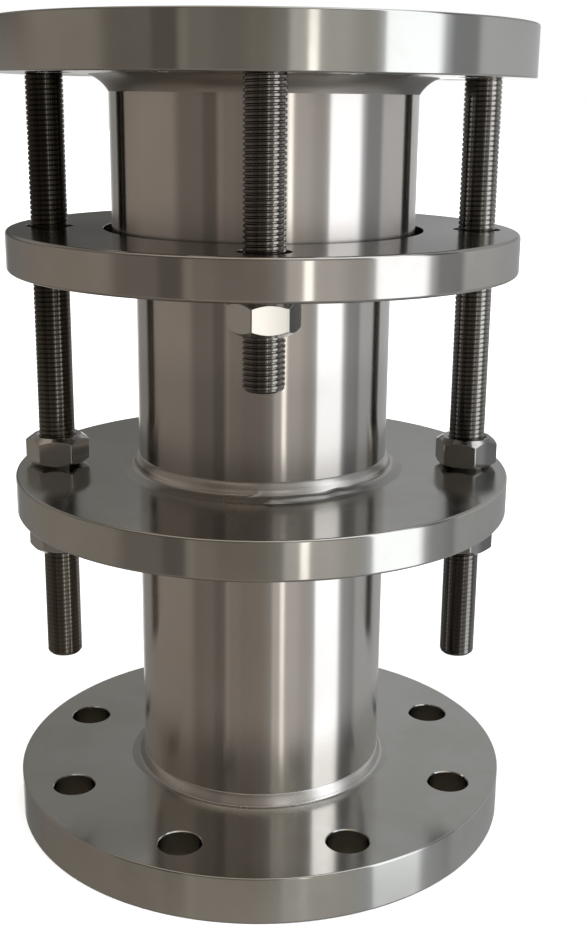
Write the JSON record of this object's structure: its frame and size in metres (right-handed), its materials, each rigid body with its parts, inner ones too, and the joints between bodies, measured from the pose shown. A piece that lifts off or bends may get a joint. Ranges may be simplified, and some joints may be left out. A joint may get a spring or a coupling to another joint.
{
  "type": "flanged expansion joint",
  "caption": "Telescopic pipe expansion joint in stainless steel: a flanged sleeve slides on a flanged pipe, sealed by a gland ring, its travel set by nuts on threaded rods.",
  "frame": {"origin": "centre of the lower flange's mating face, on which the part stands", "axes": "+Z along the pipe's axis, from the lower flange to the upper one; the two long rods stand at -X and +X, turned 0.8 degrees toward -Y on the right, and the front is -Y"},
  "size_m": [0.22, 0.22, 0.3435],
  "materials": {
    "flange_steel": "fine turned, polished",
    "ring_steel": "fine turned, polished",
    "pipe_steel": "polished",
    "weld_bead": "welded and brushed",
    "rod_steel": "rolled thread, darker",
    "nut_steel": "bright",
    "seal_rubber": "matt black"
  },
  "bodies": {
    "spigot": {"bottom_flange": "flange_steel", "bottom_flange_weld": "weld_bead", "bottom_flange_inner_weld": "weld_bead", "inner_pipe": "pipe_steel", "limit_ring": "ring_steel", "limit_ring_weld_upper": "weld_bead", "limit_ring_weld_lower": "weld_bead"},
    "housing": {"top_flange": "flange_steel", "sleeve_weld": "weld_bead", "outer_sleeve": "pipe_steel", "limit_rod_left": "rod_steel", "limit_rod_right": "rod_steel", "gland_stud_front": "rod_steel", "gland_stud_back": "rod_steel"},
    "gland": {"gland_ring": "ring_steel", "seal_ring": "seal_rubber"},
    "gland_nut_front": {"gland_nut_front": "nut_steel"},
    "gland_nut_back": {"gland_nut_back": "nut_steel"},
    "limit_nut_upper_left": {"limit_nut_upper_left": "nut_steel"},
    "limit_nut_upper_right": {"limit_nut_upper_right": "nut_steel"},
    "limit_nut_lower_left": {"limit_nut_lower_left": "nut_steel"},
    "limit_nut_lower_right": {"limit_nut_lower_right": "nut_steel"}
  },
  "joints": [
    {"name": "telescope", "type": "slide", "parent": "spigot", "child": "housing", "axis": [0, 0, 1], "range_m": [-0.025, 0.025]},
    {"name": "gland_slide", "type": "slide", "parent": "housing", "child": "gland", "axis": [0, 0, -1], "range_m": [0, 0.015]},
    {"name": "gland_nut_front_spin", "type": "hinge", "parent": "gland", "child": "gland_nut_front", "pos_m": [-0.00126, -0.08999, 0.239], "axis": [0, 0, 1], "range_deg": [-2710, 10]},
    {"name": "gland_nut_back_spin", "type": "hinge", "parent": "gland", "child": "gland_nut_back", "pos_m": [0.00126, 0.08999, 0.239], "axis": [0, 0, 1], "range_deg": [-2710, 10]},
    {"name": "limit_nut_upper_left_spin", "type": "hinge", "parent": "spigot", "child": "limit_nut_upper_left", "pos_m": [-0.08999, 0.00126, 0.1655], "axis": [0, 0, 1], "range_deg": [-4510, 4510]},
    {"name": "limit_nut_upper_right_spin", "type": "hinge", "parent": "spigot", "child": "limit_nut_upper_right", "pos_m": [0.08999, -0.00126, 0.1655], "axis": [0, 0, 1], "range_deg": [-4510, 4510]},
    {"name": "limit_nut_lower_left_spin", "type": "hinge", "parent": "spigot", "child": "limit_nut_lower_left", "pos_m": [-0.08999, 0.00126, 0.126], "axis": [0, 0, 1], "range_deg": [-4510, 4510]},
    {"name": "limit_nut_lower_right_spin", "type": "hinge", "parent": "spigot", "child": "limit_nut_lower_right", "pos_m": [0.08999, -0.00126, 0.126], "axis": [0, 0, 1], "range_deg": [-4510, 4510]}
  ],
  "couplings": [
    {"joint": "gland_nut_front_spin", "follows": "gland_slide", "rad_per_m": -3141.6},
    {"joint": "gland_nut_back_spin", "follows": "gland_slide", "rad_per_m": -3141.6},
    {"joint": "limit_nut_upper_left_spin", "follows": "telescope", "rad_per_m": -3141.6},
    {"joint": "limit_nut_upper_right_spin", "follows": "telescope", "rad_per_m": -3141.6},
    {"joint": "limit_nut_lower_left_spin", "follows": "telescope", "rad_per_m": -3141.6},
    {"joint": "limit_nut_lower_right_spin", "follows": "telescope", "rad_per_m": -3141.6}
  ]
}
